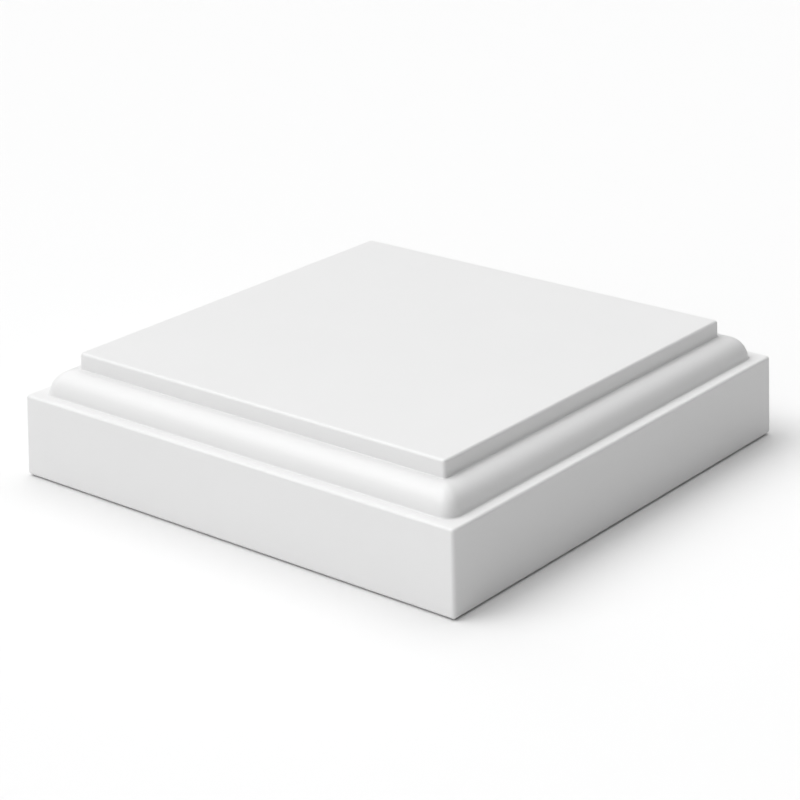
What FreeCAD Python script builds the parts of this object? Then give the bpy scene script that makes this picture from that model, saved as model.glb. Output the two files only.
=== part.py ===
import FreeCAD, Part
import math
import os

from FreeCAD import Vector

# Newel post cap, moulded in one piece of rigid urethane foam and primed white.
# Millimetres, +Z up, origin at the centre of the underside.

# Driving sizes
cap_side = 222.25
band_height = 34.925
mould_draft_degrees = 2.0
ledge_width = 5.3
ovolo_radius = 10.0
quirk_width = 0.7
plate_thickness = 7.2

# Radii of the corners, seen in plan
band_corner_radius = 1.6
ovolo_mitre_radius = 5.6
plate_corner_radius = 1.4

# Radii of the edges that run round the cap, and of the inner corners at the feet of its mouldings
foot_arris_radius = 1.4
band_arris_radius = 1.3
plate_arris_radius = 1.3
plate_cove_radius = 0.6
ledge_cove_radius = 0.8

# Closest that two points are told apart
touch = 0.001

# Heights of the steps
crest_height = band_height + ovolo_radius
cap_height = crest_height + plate_thickness

# Half widths of the steps, from the underside inwards to the top
# The sharp foot stands out past the rounded one, which has the cap's full width
draft_angle = math.radians(mould_draft_degrees)
draft = math.tan(draft_angle)
foot_rounded_off = foot_arris_radius * (draft + 1 / math.cos(draft_angle) - 1)
band_foot = cap_side / 2 + foot_rounded_off
band_top = band_foot - draft * band_height
ovolo_foot = band_top - ledge_width
ovolo_crest = ovolo_foot - ovolo_radius
plate_foot = ovolo_crest - quirk_width
plate_top = plate_foot - draft * plate_thickness


def line(start, end):
    """Straight edge between two (half width, height) points of the section."""
    return Part.LineSegment(Vector(start[0], 0, start[1]), Vector(end[0], 0, end[1])).toShape()


def quarter_round():
    """Ovolo of the section: upright where it leaves the ledge, level at its crest."""
    across = ovolo_radius * math.cos(math.radians(45))
    foot = Vector(ovolo_foot, 0, band_height)
    swell = Vector(ovolo_crest + across, 0, band_height + across)
    crest = Vector(ovolo_crest, 0, crest_height)
    return Part.Arc(foot, swell, crest).toShape()


def section():
    """Full section through the middle of the cap, with every edge still sharp."""
    flank = [
        line((band_foot, 0), (band_top, band_height)),
        line((band_top, band_height), (ovolo_foot, band_height)),
        quarter_round(),
        line((ovolo_crest, crest_height), (plate_foot, crest_height)),
        line((plate_foot, crest_height), (plate_top, cap_height)),
    ]
    other_flank = [edge.mirror(Vector(0, 0, 0), Vector(1, 0, 0)) for edge in flank]
    underside = line((-band_foot, 0), (band_foot, 0))
    top = line((plate_top, cap_height), (-plate_top, cap_height))
    outline = Part.__sortEdges__(flank + other_flank + [underside, top])
    return Part.Face(Part.Wire(outline))


def mitred_body():
    """The section run along Y and along X: where the two runs meet, the moulding is mitred."""
    run = 2 * cap_side
    along_y = section().extrude(Vector(0, run, 0))
    along_y.translate(Vector(0, -run / 2, 0))
    along_x = along_y.rotated(Vector(0, 0, 0), Vector(0, 0, 1), 90)
    return along_y.common(along_x).removeSplitter()


def mitres(shape, low, high):
    """Corner edges that climb the diagonals between two heights."""
    found = []
    for edge in shape.Edges:
        ends = [vertex.Point for vertex in edge.Vertexes]
        on_diagonal = all(abs(abs(end.x) - abs(end.y)) < touch for end in ends)
        heights = sorted(end.z for end in ends)
        spans = abs(heights[0] - low) < touch and abs(heights[-1] - high) < touch
        if on_diagonal and spans:
            found.append(edge)
    return found


def ring(shape, height, inside, outside):
    """Edges that run round the cap at one height, between two half widths."""
    found = []
    for edge in shape.Edges:
        level = all(abs(vertex.Z - height) < touch for vertex in edge.Vertexes)
        first, last = edge.ParameterRange
        middle = edge.valueAt((first + last) / 2)
        half_width = max(abs(middle.x), abs(middle.y))
        if level and inside < half_width < outside:
            found.append(edge)
    return found


def round_corners(shape):
    """Ease the upright corners of the band and the plate, and the mitres of the quarter round."""
    shape = shape.makeFillet(band_corner_radius, mitres(shape, 0, band_height))
    shape = shape.makeFillet(ovolo_mitre_radius, mitres(shape, band_height, crest_height))
    return shape.makeFillet(plate_corner_radius, mitres(shape, crest_height, cap_height))


def ease_edges(shape):
    """Fill the inner corners at the feet of the plate and the quarter round, then round the outer edges."""
    mid_ledge = band_top - ledge_width / 2
    mid_quirk = ovolo_crest - quirk_width / 2
    shape = shape.makeFillet(plate_cove_radius, ring(shape, crest_height, 0, mid_quirk))
    shape = shape.makeFillet(ledge_cove_radius, ring(shape, band_height, 0, mid_ledge))
    shape = shape.makeFillet(plate_arris_radius, ring(shape, cap_height, 0, plate_foot))
    shape = shape.makeFillet(band_arris_radius, ring(shape, band_height, mid_ledge, band_foot))
    return shape.makeFillet(foot_arris_radius, ring(shape, 0, mid_ledge, cap_side))


cap = ease_edges(round_corners(mitred_body()))
os.makedirs("parts", exist_ok=True)
cap.exportStep("parts/newel_post_cap.step")
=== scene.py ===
import math

import bpy
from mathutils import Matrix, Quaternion, Vector

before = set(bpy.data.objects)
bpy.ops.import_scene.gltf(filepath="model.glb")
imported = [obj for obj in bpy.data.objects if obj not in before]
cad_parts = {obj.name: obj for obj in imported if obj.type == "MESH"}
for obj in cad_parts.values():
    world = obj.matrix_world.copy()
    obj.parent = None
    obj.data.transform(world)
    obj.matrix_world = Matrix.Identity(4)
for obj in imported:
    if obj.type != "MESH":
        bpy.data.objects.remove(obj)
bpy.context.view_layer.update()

# The cap itself
# One casting in rigid urethane, poured into an open mould with its underside up.
# A satin white primer is sprayed on it, which dries with a fine orange peel.

primer_white = (0.73, 0.73, 0.73)
primer_shade = (0.715, 0.715, 0.715)
primer_roughness = (0.40, 0.48)

# Waves a metre, and how many finer octaves each noise has
cloud_scale, cloud_detail = 28.0, 4.0
sheen_scale, sheen_detail = 160.0, 3.0
peel_scale, peel_detail = 620.0, 2.0
grain_scale, grain_detail = 2600.0, 2.0

peel_height = 0.00003
grain_height = 0.000006


def noise(nodes, scale, detail):
    """Noise in the cap's own coordinates."""
    texture = nodes.new("ShaderNodeTexNoise")
    texture.inputs["Scale"].default_value = scale
    texture.inputs["Detail"].default_value = detail
    place = nodes.new("ShaderNodeTexCoord")
    nodes.id_data.links.new(place.outputs["Object"], texture.inputs["Vector"])
    return texture.outputs["Fac"]


def primed_urethane():
    """Satin white primer: clouded tone, uneven sheen, orange peel and fine grain."""
    material = bpy.data.materials.new("satin_white_primer")
    material.use_nodes = True
    nodes = material.node_tree.nodes
    links = material.node_tree.links
    shader = nodes["Principled BSDF"]

    tone = nodes.new("ShaderNodeMix")
    tone.data_type = "RGBA"
    tone.inputs["A"].default_value = (*primer_shade, 1.0)
    tone.inputs["B"].default_value = (*primer_white, 1.0)
    links.new(noise(nodes, cloud_scale, cloud_detail), tone.inputs["Factor"])
    links.new(tone.outputs["Result"], shader.inputs["Base Color"])

    sheen = nodes.new("ShaderNodeMapRange")
    sheen.inputs["To Min"].default_value = primer_roughness[0]
    sheen.inputs["To Max"].default_value = primer_roughness[1]
    links.new(noise(nodes, sheen_scale, sheen_detail), sheen.inputs["Value"])
    links.new(sheen.outputs["Result"], shader.inputs["Roughness"])

    peel = nodes.new("ShaderNodeBump")
    peel.inputs["Distance"].default_value = peel_height
    links.new(noise(nodes, peel_scale, peel_detail), peel.inputs["Height"])
    grain = nodes.new("ShaderNodeBump")
    grain.inputs["Distance"].default_value = grain_height
    links.new(noise(nodes, grain_scale, grain_detail), grain.inputs["Height"])
    links.new(peel.outputs["Normal"], grain.inputs["Normal"])
    links.new(grain.outputs["Normal"], shader.inputs["Normal"])
    return material


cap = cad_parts["newel_post_cap"]
cap.material_slots[0].material = primed_urethane()

# The floor it stands on
# A plain sheet of white studio paper, wide enough to fill every view.
# It lies just clear of the cap's foot, so the foot ends in a thin dark line.

floor_white = (0.80, 0.80, 0.80)
floor_roughness = 0.9
floor_side = 24.0
floor_drop = 0.0006

bpy.ops.mesh.primitive_plane_add(size=floor_side)
floor = bpy.context.object
floor.location.z = -floor_drop
floor.name = "floor"
paper = bpy.data.materials.new("floor_paper")
paper.use_nodes = True
paper_shader = paper.node_tree.nodes["Principled BSDF"]
paper_shader.inputs["Base Color"].default_value = (*floor_white, 1.0)
paper_shader.inputs["Roughness"].default_value = floor_roughness
floor.data.materials.append(paper)

# The studio light
# Four broad, soft lamps: a key light and a lower front light from the left of the view,
# and two from behind. The white room is only a backdrop, and throws no light of its own.

room_white = (1.0, 1.0, 1.0)

room = bpy.data.worlds.new("room")
room.use_nodes = True
room.node_tree.nodes["Background"].inputs["Color"].default_value = (*room_white, 1.0)
bpy.context.scene.world = room
room.cycles_visibility.diffuse = False
room.cycles_visibility.glossy = False


def way_to(azimuth, elevation):
    """Direction from the cap, in degrees; azimuth 0 is towards -Y and 90 towards +X."""
    a = math.radians(azimuth)
    e = math.radians(elevation)
    return Vector((math.sin(a) * math.cos(e), -math.cos(a) * math.cos(e), math.sin(e)))


def soft_sun(name, azimuth, elevation, strength, spread):
    """Broad, far lamp; strength is in watts a square metre and spread in degrees."""
    lamp = bpy.data.lights.new(name, "SUN")
    lamp.energy = strength
    lamp.angle = math.radians(spread)
    holder = bpy.data.objects.new(name, lamp)
    holder.rotation_mode = "QUATERNION"
    holder.rotation_quaternion = way_to(azimuth, elevation).to_track_quat("Z", "Y")
    bpy.context.scene.collection.objects.link(holder)


soft_sun("key_light", azimuth=-50.0, elevation=54.0, strength=1.72, spread=44.0)
soft_sun("front_light", azimuth=0.0, elevation=25.0, strength=1.45, spread=90.0)
soft_sun("left_light", azimuth=-120.0, elevation=52.0, strength=1.02, spread=60.0)
soft_sun("back_light", azimuth=165.0, elevation=61.0, strength=1.18, spread=60.0)

# The camera
# A long lens about a metre from the cap, looking down a little on its front corner.
# It is tipped sideways by less than a degree.

view_azimuth = 38.90
view_elevation = 21.54
view_roll = 0.83
view_distance = 0.9829
aim_across = -0.00168
aim_up = -0.00202
cap_middle = Vector((0.0, 0.0, 0.026))
lens_length = 106.27
sensor_width = 36.0

camera = bpy.data.objects.new("camera", bpy.data.cameras.new("camera"))
camera.data.lens = lens_length
camera.data.sensor_width = sensor_width
level = way_to(view_azimuth, view_elevation).to_track_quat("Z", "Y")
turn = level @ Quaternion((0.0, 0.0, 1.0), -math.radians(view_roll))
camera.rotation_mode = "QUATERNION"
camera.rotation_quaternion = turn
camera.location = cap_middle + turn @ Vector((aim_across, aim_up, view_distance))
bpy.context.scene.collection.objects.link(camera)
bpy.context.scene.camera = camera
bpy.context.scene.view_settings.view_transform = "Standard"
